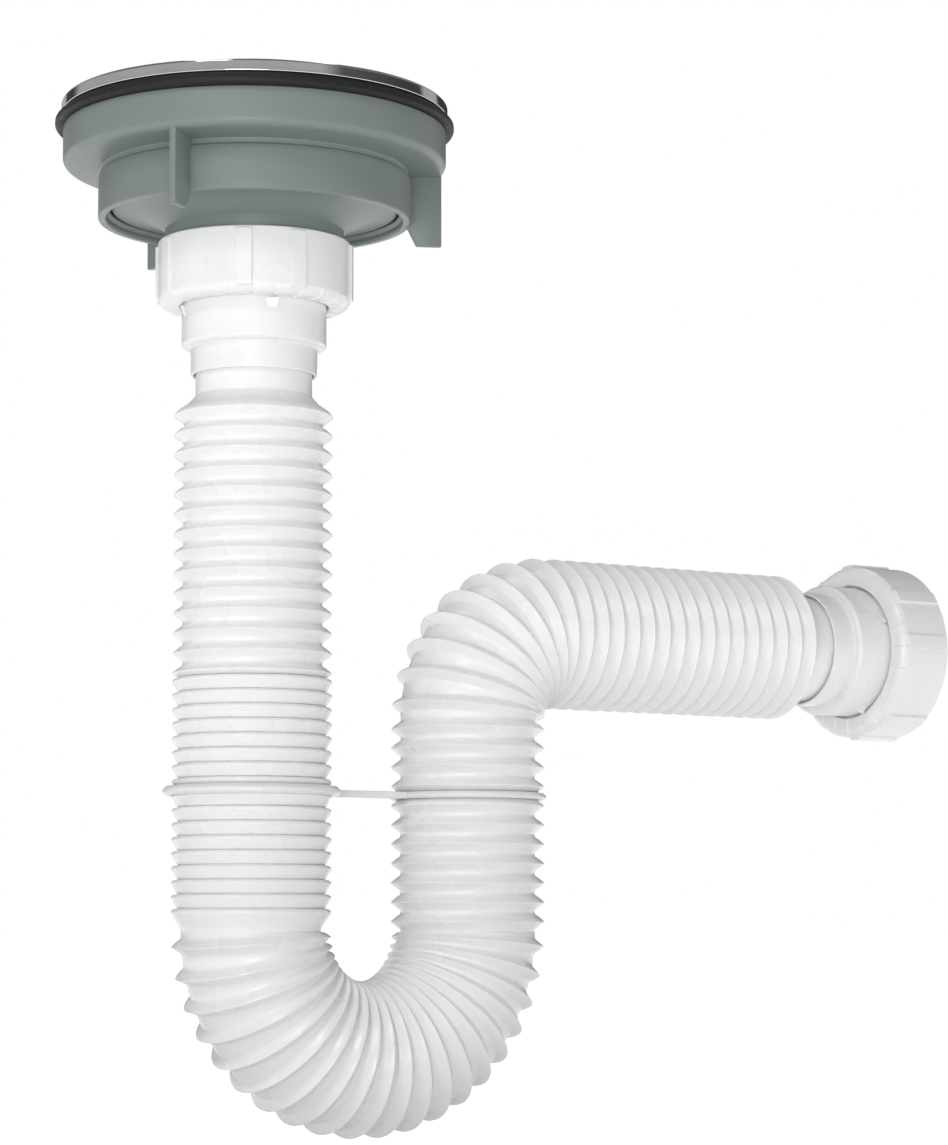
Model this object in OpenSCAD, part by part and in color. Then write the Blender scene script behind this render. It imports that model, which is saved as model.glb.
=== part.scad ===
// Kitchen sink strainer waste with a flexible corrugated P-trap. Millimetres, +Z up.
// The origin is the centre of the sink hole, on the plane where the sink sheet is clamped.
// The trap lies in the XZ plane: its inlet leg hangs down the Z axis and its outlet arm runs along +X.

/* [Strainer] */
// Outer diameter of the polished flange cover
flange_d = 114.6; // [112:0.2:118]
// Outer diameter of the black sink gasket
gasket_d = 118.4; // [115:0.2:122]
// Outer diameter of the wing nut's upper ring
ring_d = 113.6; // [108:0.2:116]
// Outer diameter of the wing nut's skirt
skirt_d = 92.6; // [92:0.2:96]
// Outer diameter of the strainer's threaded barrel
barrel_d = 85; // [84:0.2:85.4]
// Distance from the axis to a wing's outer edge
wing_reach = 56; // [52:0.5:57]

/* [Couplings] */
// Diameter over the male coupling thread (G 1 1/2)
thread_d = 47.8; // [47:0.1:48]
// Outer diameter of a coupling nut without its ribs
nut_d = 57; // [56:0.2:60]
// Height of a coupling nut
nut_h = 19.5; // [18:0.5:22]
// Diameter of the adapter's wide step
socket_d = 42.8; // [42:0.1:43.4]
// Diameter of the adapter's narrow step
collar_d = 37.5; // [37:0.1:39]
// Outer diameter of the hose's plain cuff
cuff_d = 34.4; // [33:0.1:35]

/* [Hose] */
// Diameter of the hose over its ridges
hose_d = 46.8; // [46:0.1:48]
// Depth of an open corrugation
ridge_depth = 2.9; // [2:0.1:3.4]
// Depth of a folded corrugation, as it shows outside
folded_depth = 1.4; // [1:0.1:2]
// Wall thickness, measured along the radius
hose_wall = 1.1; // [0.9:0.1:1.6]
// Length of an open corrugation
open_pitch = 5.87; // [5.6:0.01:6]
// Length of a folded corrugation
folded_pitch = 4.21; // [4:0.01:4.4]
// Distance between the axes of the two legs
leg_spacing = 76; // [74:0.5:80]
// Bend radius of the elbow's centreline
elbow_r = 28; // [27:0.5:30]

/* [Retaining clip] */
// Thickness of the clip
clip_t = 2.8; // [2:0.1:3]
// Width of the bar that joins its two loops
clip_bar_w = 5; // [3:0.5:8]

/* [Hidden] */
$fn = 96;

// Heights in the strainer, all along Z
seal_t = 1.2;
cover_top = 5.2;
cover_sheet = 0.8;
flange_top = cover_top - cover_sheet - 0.3;
cover_sleeve_bottom = -6;
gasket_top = -0.1;
gasket_bottom = -2.8;
ring_bottom = -13.9;
skirt_bottom = -29.8;
wing_bottom = -35.4;
bowl_edge = -27.1;
neck_top = -32.6;
neck_bottom = -36.3;
neck_r = 26.5;
bowl_wall = 2.4;
barrel_bore_r = 39.3;
outlet_bore_r = 19.3;

// Threads: each is a stack of annular ridges with flat crests
strainer_pitch = 3;
strainer_thread_depth = 0.9;
strainer_clearance = 0.5;
coupling_pitch = 2.309;
coupling_thread_depth = 0.9;
coupling_clearance = 0.3;
crest = 0.7;

// A coupling has its own frame: w = 0 is the nut's face on the hose side, and +w leads to the nut's mouth
adapter_step_w = -12;
collar_end_w = -20.2;
cone_start_w = -26.4;
first_ridge_w = -32.3;
cuff_end_w = -6;
shoulder_w = 2.4;
flange_top_w = 4.5;
washer_top_w = 6.9;
tail_end_w = 7;
nut_bore_r = thread_d / 2 + coupling_clearance;
nut_hole_r = socket_d / 2 + 0.6;
adapter_flange_r = nut_bore_r - 0.5;
cuff_bore_r = cuff_d / 2 - 1.3;

// Where the two couplings are: the nut's face on the hose side
inlet_z = neck_bottom - nut_h - 0.1;
hose_r = hose_d / 2;
valley_r = hose_r - ridge_depth;

// Corrugation counts, and the hose's route that follows from them
drop_cells = 12;
section_cells = 7;
leg_cells = 9;
bend_cells = 10;
riser_cells = 11;
elbow_cells = 8;
arm_cells = 3;
arm_section_cells = 12;
first_ridge_z = inlet_z + first_ridge_w;
leg_top_z = first_ridge_z - (drop_cells + 0.5) * open_pitch;
first_cell_length = 4.2;
last_cell_length = 6.8;
bend_r = leg_spacing / 2;
section_top_z = leg_top_z - first_cell_length;
folded_leg_z = section_top_z - section_cells * folded_pitch;
bend_z = folded_leg_z - leg_cells * folded_pitch - last_cell_length;
riser_top_z = bend_z + riser_cells * open_pitch;
arm_z = riser_top_z + elbow_r;
arm_start_x = leg_spacing + elbow_r;
arm_section_x = arm_start_x + arm_cells * open_pitch;
last_ridge_x = arm_section_x + (arm_section_cells + 0.5) * open_pitch;
outlet_x = last_ridge_x - first_ridge_w;
clip_z = bend_z + 7 * open_pitch;
folded_valley_r = hose_r - folded_depth;

// Facets round a bend
bend_sides = 24;

// Colours
grey = [0.44, 0.49, 0.48];
white = [0.93, 0.93, 0.93];
steel = [0.80, 0.80, 0.80];
rubber = [0.08, 0.08, 0.08];

// ---- Profiles ----

// Points of an arc, from angle a0 to a1
function arc(cx, cy, r, a0, a1, n = 6) =
    [for (i = [0 : n]) let (a = a0 + (a1 - a0) * i / n) [cx + r * cos(a), cy + r * sin(a)]];

// A thread's outline from height z0 to z1: ridges from root_r to crest_r, whichever is the larger
function thread(root_r, crest_r, z0, z1, pitch) =
    let (turns = floor(abs(z1 - z0) / pitch), step = sign(z1 - z0) * pitch, half = sign(z1 - z0) * crest / 2)
    [for (i = [0 : turns - 1])
        let (z = z0 + step * (i + 0.5))
        each [
            [root_r, z - step / 2 + half / 2], [crest_r, z - half], [crest_r, z + half],
            [root_r, z + step / 2 - half / 2]
        ]];

// One corrugation, as [share of its length, depth below the ridges]. Each starts and ends in a valley
function open_cell(depth) = [[0, depth], [0.07, depth], [0.51, 0], [0.56, 0], [0.93, depth]];
function folded_cell(depth) = [[0, depth], [0.30, 0], [0.36, 0], [0.96, depth]];
function first_cell(open, folded) = [[0, open], [0.08, open], [0.65, 0], [0.7, 0]];
function last_cell(open, folded) = [[0, folded], [0.19, 0], [0.24, 0], [0.86, open]];

// A row of equal corrugations, as [radius, distance along the axis]
function corrugated(r, cell, count, pitch) =
    [for (i = [0 : count - 1], p = cell) [r - p[1], (i + p[0]) * pitch]];

// A tube along +Z whose outside follows a list of [radius, distance], with an even wall
module tube(outside, wall) {
    inside = [for (i = [len(outside) - 1 : -1 : 0]) [outside[i][0] - wall, outside[i][1]]];
    rotate_extrude() polygon(concat(outside, inside));
}

// ---- Strainer ----

// Underside of the bowl: nearly flat at the barrel and steeper towards the neck
function bowl_underside(r_out, r_in, z_out, z_in, n = 8) =
    [for (i = [0 : n])
        let (u = i / n)
        [r_out + (r_in - r_out) * u, z_out + (z_in - z_out) * pow(u, 2.2)]];

module strainer_body() {
    r = barrel_d / 2;
    flange_r = flange_d / 2 - cover_sheet - 0.4;
    root = r - strainer_thread_depth;
    tail_r = thread_d / 2;
    tail_root = tail_r - coupling_thread_depth;
    tail_end = inlet_z + tail_end_w;
    under = bowl_underside(r - 0.9, neck_r, bowl_edge, neck_top);
    inner = bowl_underside(barrel_bore_r, outlet_bore_r, bowl_edge + bowl_wall, neck_top + bowl_wall);
    grid_bar = 2.4;
    grid_h = 3;
    color(grey) {
        rotate_extrude() polygon(concat(
            [[barrel_bore_r, flange_top], [flange_r, flange_top], [flange_r, seal_t],
             [r, seal_t], [r, -3.7]],
            thread(root, r, -3.8, bowl_edge + 1.6, strainer_pitch),
            [[r - 0.2, bowl_edge + 0.9]],
            under,
            [[neck_r, neck_bottom], [tail_root, neck_bottom]],
            thread(tail_root, tail_r, neck_bottom - 0.6, tail_end + 0.6, coupling_pitch),
            [[tail_root, tail_end], [outlet_bore_r, tail_end]],
            [for (i = [len(inner) - 1 : -1 : 0]) inner[i]]
        ));
        for (a = [0, 90]) rotate([0, 0, a])
            translate([-outlet_bore_r - 0.5, -grid_bar / 2, neck_bottom])
                cube([2 * outlet_bore_r + 1, grid_bar, grid_h]);
    }
}

// Pressed steel cover over the plastic flange, with a short sleeve down into the bowl
module flange_cover() {
    r = flange_d / 2;
    t = cover_sheet;
    sleeve_r = barrel_bore_r - 0.1;
    color(steel) rotate_extrude() polygon(concat(
        [[r - t - 0.2, seal_t], [r, seal_t]],
        arc(r - 1.4, cover_top - 1.4, 1.4, 0, 90),
        [[45, cover_top - 0.3]],
        arc(sleeve_r - t + 3, cover_top - 3.4, 3, 90, 180),
        [[sleeve_r - t, cover_sleeve_bottom], [sleeve_r, cover_sleeve_bottom], [sleeve_r, flange_top],
         [r - t - 0.2, flange_top]]
    ));
}

module flange_seal() {
    color(rubber) difference() {
        cylinder(r = flange_d / 2 - 0.3, h = seal_t);
        translate([0, 0, -1]) cylinder(r = barrel_d / 2, h = seal_t + 2);
    }
}

module sink_gasket() {
    r = gasket_d / 2;
    bore = barrel_d / 2 + strainer_clearance;
    edge = 0.9;
    color(rubber) rotate_extrude() polygon(concat(
        [[bore, gasket_bottom]],
        arc(r - edge, gasket_bottom + edge, edge, -90, 0, 4),
        arc(r - edge, gasket_top - edge, edge, 0, 90, 4),
        [[bore, gasket_top]]
    ));
}

// One of the wing nut's finger wings, standing out from the skirt
module wing() {
    wing_t = 2;
    skirt_r = skirt_d / 2;
    rotate([90, 0, 0]) translate([0, 0, -wing_t / 2]) linear_extrude(wing_t) polygon([
        [skirt_r - 1, ring_bottom + 0.5], [wing_reach, ring_bottom + 0.5], [wing_reach, wing_bottom],
        [skirt_r + 2.2, wing_bottom], [skirt_r - 0.2, skirt_bottom - 0.8], [skirt_r - 1, skirt_bottom]
    ]);
}

// The wide nut that clamps the sink: a cored ring, a threaded skirt and three wings
module wing_nut() {
    ring_r = ring_d / 2;
    skirt_r = skirt_d / 2;
    bore = barrel_d / 2 + strainer_clearance;
    root = bore + strainer_thread_depth;
    wall = 2.6;
    corner = 2.2;
    spokes = 12;
    color(grey) {
        rotate_extrude() polygon(concat(
            [[root, gasket_bottom], [skirt_r, gasket_bottom], [skirt_r, ring_bottom + 2],
             [ring_r - wall, ring_bottom + 2.4], [ring_r - wall, gasket_bottom], [ring_r, gasket_bottom]],
            arc(ring_r - corner, ring_bottom + corner, corner, 0, -90),
            [[skirt_r + 0.6, ring_bottom - 0.7], [skirt_r, ring_bottom - 1.4],
             [skirt_r, skirt_bottom + 0.4], [skirt_r - 0.4, skirt_bottom], [root, skirt_bottom]],
            thread(root, bore, skirt_bottom + 1.6, gasket_bottom - 1, strainer_pitch)
        ));
        for (i = [0 : spokes - 1]) rotate([0, 0, i * 360 / spokes + 15])
            translate([skirt_r - 0.5, -0.8, ring_bottom + 1.5])
                cube([ring_r - wall - skirt_r + 1, 1.6, gasket_bottom - ring_bottom - 2]);
        for (i = [0 : 2]) rotate([0, 0, 95.5 + i * 120]) wing();
    }
}

// ---- Basket ----

module basket_cup() {
    t = 0.8;
    rim_r = 37.8;
    wall_r = 35.2;
    floor_r = 31.5;
    rim_z = 1.2;
    floor_z = -19;
    post_r = 3.2;
    color(steel) difference() {
        rotate_extrude() polygon([
            [post_r, floor_z], [floor_r, floor_z], [floor_r + 1, floor_z + 1], [wall_r, rim_z - 2.2],
            [rim_r, rim_z - 1], [rim_r, rim_z], [rim_r - t, rim_z], [wall_r - t, rim_z - 1.8],
            [floor_r + 1 - t, floor_z + 1.4], [floor_r - t, floor_z + t], [post_r, floor_z + t]
        ]);
        for (ring = [[13, 8], [20, 12], [27, 18]], i = [0 : ring[1] - 1])
            rotate([0, 0, i * 360 / ring[1]]) translate([ring[0], 0, floor_z - 1]) cylinder(r = 1.8, h = 4);
        for (row = [0 : 1], i = [0 : 17]) rotate([0, 0, (i + row / 2) * 20])
            translate([25, 0, floor_z + 6 + row * 6]) rotate([0, 90, 0]) cylinder(r = 1.8, h = 14);
    }
}

// Rubber plug under the basket, whose lip lies on the bowl's outlet when the basket is down
module basket_stopper() {
    lip_r = 22.6;
    color(rubber) rotate_extrude() polygon([
        [3.2, -28.9], [17, -28.9], [20.6, -28.5], [lip_r, -28.1], [lip_r, -27], [19, -25.4],
        [7, -24.2], [6, -23], [6, -19.05], [3.2, -19.05]
    ]);
}

// Post and finger knob through the basket's centre, with a collar above and a head below
module basket_knob() {
    color(steel) rotate_extrude() polygon(concat(
        [[0, -30.6], [4.2, -30.6], [5, -29.9], [5, -29], [3.1, -29], [3.1, -18.1], [5.5, -18.1],
         [5.5, -16.6], [2.6, -15], [2.6, -6], [6, -3.4], [7.5, -1.6]],
        arc(6, 0.2, 1.5, 0, 90, 4),
        [[0, 1.7]]
    ));
}

// ---- Couplings, each in its own frame ----

module coupling_nut() {
    r = nut_d / 2;
    groove = nut_bore_r + coupling_thread_depth;
    corner = 3;
    rib_w = 4.6;
    rib_out = 0.85;
    teeth = 24;
    color(white) difference() {
        union() {
            rotate_extrude() polygon(concat(
                [[nut_hole_r, 0.5], [nut_hole_r + 0.5, 0]],
                arc(r - corner, corner, corner, -90, 0),
                [[r, nut_h - 0.6], [r - 0.6, nut_h], [groove, nut_h]],
                thread(groove, nut_bore_r, nut_h - 0.3, washer_top_w + 0.3, coupling_pitch),
                [[groove, shoulder_w], [nut_hole_r, shoulder_w]]
            ));
            for (pair = [0 : 3], a = [234, 266.5]) rotate([0, 0, pair * 90 + a])
                translate([0, rib_w / 2, 0]) rotate([90, 0, 0]) linear_extrude(rib_w) polygon([
                    [r - 1, 1.9], [r + rib_out - 0.2, 2.1], [r + rib_out, 2.4], [r + rib_out, nut_h - 1.2],
                    [r, nut_h - 0.7], [r - 1, nut_h - 0.7]
                ]);
        }
        for (i = [0 : teeth - 1]) rotate([0, 0, (i + 0.5) * 360 / teeth])
            translate([nut_hole_r - 1, -0.35, -1]) cube([r - nut_hole_r + 2, 0.7, 1.5]);
    }
}

// Stepped sleeve glued on the hose's cuff. Its ratchet pawls stop the nut working loose, and pawl_turn is
// the angle of the first one
module adapter(pawl_turn) {
    step_r = socket_d / 2;
    collar_r = collar_d / 2;
    pawl_h = 3.6;
    color(white) {
        rotate_extrude() polygon([
            [cuff_d / 2, collar_end_w], [collar_r - 0.3, collar_end_w], [collar_r, collar_end_w + 0.4],
            [collar_r, adapter_step_w], [step_r - 0.9, adapter_step_w], [step_r, adapter_step_w + 0.9],
            [step_r, shoulder_w + 0.1], [adapter_flange_r, shoulder_w + 0.1],
            [adapter_flange_r, flange_top_w], [cuff_bore_r, flange_top_w],
            [cuff_bore_r, cuff_end_w], [cuff_d / 2, cuff_end_w]
        ]);
        for (i = [0 : 3]) rotate([0, 0, pawl_turn + i * 90]) translate([step_r - 0.5, 0, -pawl_h - 0.3])
            linear_extrude(pawl_h) polygon([[0, -3.6], [0, 0], [1.6, 0]]);
    }
}

module washer() {
    color(rubber) difference() {
        translate([0, 0, flange_top_w]) cylinder(r = adapter_flange_r, h = washer_top_w - flange_top_w);
        cylinder(r = cuff_bore_r + 1, h = 20);
    }
}

// The hose's plain end: a cuff inside the adapter, a cone and the slope of the first ridge
module cuff() {
    color(white) tube([
        [cuff_d / 2, cuff_end_w], [cuff_d / 2, cone_start_w], [cuff_d / 2 + 1.3, cone_start_w - 1.1],
        [hose_r, first_ridge_w + 0.15], [hose_r, first_ridge_w - 0.15],
        [valley_r, first_ridge_w - open_pitch / 2]
    ], 1.3);
}

module at_inlet() {
    translate([0, 0, inlet_z]) children();
}

module at_outlet() {
    translate([outlet_x, 0, arm_z]) rotate([0, 90, 0]) children();
}

// ---- Hose ----

// Open stretch below the inlet, which folds when the trap is pushed up
module hose_drop_section() {
    cells = corrugated(hose_r, open_cell(ridge_depth), drop_cells, open_pitch);
    color(white) translate([0, 0, leg_top_z + drop_cells * open_pitch]) mirror([0, 0, 1])
        tube(concat(cells, [[valley_r, drop_cells * open_pitch]]), hose_wall);
}

// One half-open corrugation, which leads from the open stretch to the folded one
module hose_middle_ring() {
    outside = [for (p = first_cell(ridge_depth, folded_depth)) [hose_r - p[1], p[0] * first_cell_length]];
    color(white) translate([0, 0, leg_top_z]) mirror([0, 0, 1])
        tube(concat(outside, [[folded_valley_r, first_cell_length]]), hose_wall);
}

// Folded stretch above the clip, which opens when the trap is pulled down
module hose_folded_section() {
    cells = corrugated(hose_r, folded_cell(folded_depth), section_cells, folded_pitch);
    color(white) translate([0, 0, section_top_z]) mirror([0, 0, 1])
        tube(concat(cells, [[folded_valley_r, section_cells * folded_pitch]]), hose_wall);
}

// Folded stretch in and below the clip, and the half-open corrugation where the bend starts
module hose_inlet_leg() {
    cells = corrugated(hose_r, folded_cell(folded_depth), leg_cells, folded_pitch);
    last_start = leg_cells * folded_pitch;
    last = [for (p = last_cell(ridge_depth, folded_depth))
        [hose_r - p[1], last_start + p[0] * last_cell_length]];
    color(white) translate([0, 0, folded_leg_z]) mirror([0, 0, 1])
        tube(concat(cells, last, [[valley_r, last_start + last_cell_length]]), hose_wall);
}

module hose_riser() {
    cells = corrugated(hose_r, open_cell(ridge_depth), riser_cells, open_pitch);
    color(white) translate([leg_spacing, 0, riser_top_z]) mirror([0, 0, 1])
        tube(concat(cells, [[valley_r, riser_cells * open_pitch]]), hose_wall);
}

// A straight stretch of open corrugations of the arm, from x
module arm_stretch(x, count) {
    cells = corrugated(hose_r, open_cell(ridge_depth), count, open_pitch);
    color(white) translate([x, 0, arm_z]) rotate([0, 90, 0])
        tube(concat(cells, [[valley_r, count * open_pitch]]), hose_wall);
}

// A corrugated bend in the XZ plane, from angle a0 to a1 about its centre. A turn of 1 goes up, -1 down
module bend(cx, cz, radius, a0, a1, turn, count) {
    cell = [[0.18, ridge_depth], [0.5, 0], [0.82, ridge_depth]];
    stations = concat(
        [[0, ridge_depth]],
        [for (i = [0 : count - 1], p = cell) [(i + p[0]) / count, p[1]]],
        [[1, ridge_depth]]
    );
    n = len(stations);
    // The folds are shallower where the inside of the bend squeezes them
    function depth(d, side) = d * (0.75 + 0.25 * cos(side));
    function ring(station, inset) = [for (k = [0 : bend_sides - 1])
        let (side = k * 360 / bend_sides, a = a0 + (a1 - a0) * station[0],
             end = station[0] == 0 || station[0] == 1,
             r = hose_r - (end ? ridge_depth : depth(station[1], side)) - inset,
             reach = radius + r * cos(side))
        [cx - reach * cos(a), r * sin(side), cz + turn * reach * sin(a)]];
    points = concat(
        [for (s = stations) each ring(s, 0)],
        [for (i = [n - 1 : -1 : 0]) each ring(stations[i], hose_wall)]
    );
    faces = [for (i = [0 : 2 * n - 1], k = [0 : bend_sides - 1])
        let (j = (i + 1) % (2 * n), l = (k + 1) % bend_sides,
             a = i * bend_sides + k, b = i * bend_sides + l, c = j * bend_sides + l, d = j * bend_sides + k)
        each turn > 0 ? [[a, b, c], [a, c, d]] : [[a, c, b], [a, d, c]]];
    color(white) polyhedron(points, faces, convexity = 8);
}

// ---- Retaining clip ----

// One piece: a loop round the folded leg, a loop in a valley of the riser, and a bar between them
module retaining_clip() {
    inlet_loop_in = hose_r + 0.3;
    inlet_loop_out = hose_r + 2.7;
    riser_loop_in = valley_r + 1.1;
    riser_loop_out = hose_r + 0.7;
    bar_t = 2;
    color(white) translate([0, 0, clip_z]) {
        difference() {
            union() {
                translate([0, 0, -clip_t / 2]) cylinder(r = inlet_loop_out, h = clip_t);
                translate([leg_spacing, 0, -bar_t / 2]) cylinder(r = riser_loop_out, h = bar_t);
                translate([inlet_loop_out - 1, -clip_bar_w / 2, -bar_t / 2])
                    cube([leg_spacing - inlet_loop_out - riser_loop_out + 2, clip_bar_w, bar_t]);
            }
            translate([0, 0, -5]) cylinder(r = inlet_loop_in, h = 10);
            translate([leg_spacing, 0, -5]) cylinder(r = riser_loop_in, h = 10);
        }
    }
}

strainer_body();
flange_cover();
flange_seal();
sink_gasket();
wing_nut();
basket_cup();
basket_stopper();
basket_knob();
at_inlet() coupling_nut();  // inlet_nut
at_inlet() washer();  // inlet_washer
at_inlet() adapter(258.5);  // inlet_adapter
at_inlet() cuff();  // hose_inlet_cuff
hose_drop_section();
hose_middle_ring();
hose_folded_section();
hose_inlet_leg();
bend(bend_r, bend_z, bend_r, 0, 90, -1, bend_cells);  // hose_bend_down
bend(bend_r, bend_z, bend_r, 90, 180, -1, bend_cells);  // hose_bend_up
hose_riser();
bend(arm_start_x, riser_top_z, elbow_r, 0, 90, 1, elbow_cells);  // hose_elbow
arm_stretch(arm_start_x, arm_cells);  // hose_arm
arm_stretch(arm_section_x, arm_section_cells);  // hose_arm_section
at_outlet() cuff();  // hose_outlet_cuff
retaining_clip();
at_outlet() adapter(248);  // outlet_adapter
at_outlet() washer();  // outlet_washer
at_outlet() coupling_nut();  // outlet_nut
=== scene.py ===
import math

import bmesh
import bpy
import numpy as np
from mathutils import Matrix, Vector


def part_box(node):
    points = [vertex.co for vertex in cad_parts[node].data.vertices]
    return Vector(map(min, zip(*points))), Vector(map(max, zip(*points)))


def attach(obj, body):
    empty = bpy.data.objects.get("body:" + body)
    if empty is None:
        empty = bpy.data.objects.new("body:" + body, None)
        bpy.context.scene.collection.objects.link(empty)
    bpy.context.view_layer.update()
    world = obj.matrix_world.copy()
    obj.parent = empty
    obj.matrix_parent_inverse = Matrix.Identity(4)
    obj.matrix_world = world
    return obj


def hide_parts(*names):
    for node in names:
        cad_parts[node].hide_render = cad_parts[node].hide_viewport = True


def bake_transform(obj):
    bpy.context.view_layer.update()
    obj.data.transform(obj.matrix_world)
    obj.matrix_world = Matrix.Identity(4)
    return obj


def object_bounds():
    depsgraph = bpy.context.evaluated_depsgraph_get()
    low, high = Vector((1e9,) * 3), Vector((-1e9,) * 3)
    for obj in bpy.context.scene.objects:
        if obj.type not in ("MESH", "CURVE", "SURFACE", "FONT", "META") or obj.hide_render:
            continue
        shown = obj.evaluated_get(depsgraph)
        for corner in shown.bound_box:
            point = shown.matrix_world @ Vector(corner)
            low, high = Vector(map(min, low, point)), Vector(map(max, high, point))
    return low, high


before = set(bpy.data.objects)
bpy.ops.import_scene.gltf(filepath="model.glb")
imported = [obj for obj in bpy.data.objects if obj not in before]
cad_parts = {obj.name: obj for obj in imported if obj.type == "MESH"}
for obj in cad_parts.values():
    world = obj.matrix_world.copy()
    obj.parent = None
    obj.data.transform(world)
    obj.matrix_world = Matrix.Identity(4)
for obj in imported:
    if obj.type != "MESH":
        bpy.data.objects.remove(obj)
CAD_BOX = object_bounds()
MM = 0.001


# ---- Places that follow from the CAD nodes, and the hose's own sizes, in millimetres ----

def low(node):
    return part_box(node)[0]


def high(node):
    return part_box(node)[1]


INLET_Z = low("inlet_nut").z / MM
OUTLET_X = low("outlet_nut").x / MM
ARM_Z = (low("outlet_nut").z + high("outlet_nut").z) / 2 / MM
DROP_TOP = high("hose_drop_section").z / MM
DROP_END = low("hose_drop_section").z / MM
RING_END = low("hose_middle_ring").z / MM
SECTION_END = low("hose_folded_section").z / MM
BEND_Z = high("hose_bend_down").z / MM
LEG_X = (low("hose_riser").x + high("hose_riser").x) / 2 / MM
RISER_TOP = high("hose_riser").z / MM
ARM_X = low("hose_arm").x / MM
ARM_SECTION_X = low("hose_arm_section").x / MM
ARM_END_X = high("hose_arm_section").x / MM
CLIP_Z = (low("retaining_clip").z + high("retaining_clip").z) / 2 / MM
COVER_TOP = high("flange_cover").z / MM
FLANGE_TOP = high("strainer_body").z / MM
GASKET_Z = low("sink_gasket").z / MM
BEND_R = LEG_X / 2
ELBOW_R = ARM_X - LEG_X

HOSE_R = 23.4
VALLEY_R = 20.5
FOLDED_VALLEY_R = 21.30
WALL = 1.0
OPEN_PITCH = 5.87
FOLDED_PITCH = 4.21


# ---- Mesh helpers ----

def finish_mesh(name, mesh, material, body, node, sharp=40):
    """Makes an object of a mesh that stands for a CAD node, and attaches it to its body when one is given.
    """
    for face in mesh.polygons:
        face.use_smooth = True
    mesh.set_sharp_from_angle(angle=math.radians(sharp))
    mesh.materials.clear()
    mesh.materials.append(material)
    obj = bpy.data.objects.new(name, mesh)
    bpy.context.scene.collection.objects.link(obj)
    if body:
        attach(obj, body)
    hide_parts(node)
    return obj


def grid_mesh(name, points):
    """A closed surface from an array of rings, [rings, around, 3] in millimetres, closed both ways."""
    rings, around = points.shape[:2]
    ring, spoke = np.meshgrid(np.arange(rings), np.arange(around), indexing="ij")
    here = ring * around
    there = (ring + 1) % rings * around
    after = (spoke + 1) % around
    quads = np.stack([here + spoke, here + after, there + after, there + spoke], -1).reshape(-1, 4)
    mesh = bpy.data.meshes.new(name)
    mesh.from_pydata((points.reshape(-1, 3) * MM).tolist(), [], quads.tolist())
    bm = bmesh.new()
    bm.from_mesh(mesh)
    bmesh.ops.remove_doubles(bm, verts=bm.verts, dist=1e-6)
    bmesh.ops.recalc_face_normals(bm, faces=bm.faces)
    bm.to_mesh(mesh)
    bm.free()
    return mesh


def rounded(corners, steps):
    """A closed outline from corners (r, z, fillet radius), each corner turned into an arc."""
    outline = []
    for i, (*_, radius) in enumerate(corners):
        before = np.array(corners[i - 1][:2], float)
        corner = np.array(corners[i][:2], float)
        after = np.array(corners[(i + 1) % len(corners)][:2], float)
        back, ahead = before - corner, after - corner
        back_length, ahead_length = np.linalg.norm(back), np.linalg.norm(ahead)
        back, ahead = back / back_length, ahead / ahead_length
        half = math.acos(max(-1, min(1, float(back @ ahead)))) / 2
        if radius <= 0 or half > math.pi / 2 - 0.02:
            outline.append(tuple(corner))
            continue
        cut = min(radius / math.tan(half), back_length * 0.48, ahead_length * 0.48)
        reach = cut * math.tan(half) / math.sin(half)
        centre = corner + (back + ahead) / np.linalg.norm(back + ahead) * reach
        start, end = corner + back * cut - centre, corner + ahead * cut - centre
        turn = math.atan2(start[0] * end[1] - start[1] * end[0], start @ end)
        for step in range(steps + 1):
            c, s = math.cos(turn * step / steps), math.sin(turn * step / steps)
            x = centre[0] + start[0] * c - start[1] * s
            outline.append((x, centre[1] + start[0] * s + start[1] * c))
    return outline


def split_long(outline, most):
    """The same closed outline with no step longer than most."""
    out = []
    for i, p in enumerate(outline):
        q = outline[(i + 1) % len(outline)]
        n = max(1, math.ceil(math.dist(p, q) / most))
        out += [(p[0] + (q[0] - p[0]) * t / n, p[1] + (q[1] - p[1]) * t / n) for t in range(n)]
    return out


def turned(outline, around, shape=None):
    """Points of an outline [(r, z)] turned round the Z axis, in around even steps or at a list of angles.

    shape(angle, r, z) may move each point."""
    if isinstance(around, int):
        around = np.arange(around) * 360 / around
    angles = np.radians(np.array(around, float))
    profile = np.array(outline, float)
    r = np.repeat(profile[:, :1], len(angles), 1)
    z = np.repeat(profile[:, 1:], len(angles), 1)
    if shape:
        r, z = shape(np.degrees(angles)[None, :], r, z)
    return np.stack([r * np.cos(angles), r * np.sin(angles), z], -1)


def lathe(name, corners, steps, most, around):
    """A mesh turned from rounded corners."""
    return grid_mesh(name, turned(split_long(rounded(corners, steps), most), around))


def at_inlet(p):
    """A point of a coupling's own frame, placed at the inlet: its axis is +Z."""
    return p + np.array([0, 0, INLET_Z])


def at_outlet(p):
    """A point of a coupling's own frame, placed at the outlet: its axis is +X."""
    return np.stack([OUTLET_X + p[..., 2], p[..., 1], ARM_Z - p[..., 0]], -1)


def joined(name, meshes):
    bm = bmesh.new()
    for mesh in meshes:
        bm.from_mesh(mesh)
        bpy.data.meshes.remove(mesh)
    whole = bpy.data.meshes.new(name)
    bm.to_mesh(whole)
    bm.free()
    return whole


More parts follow.
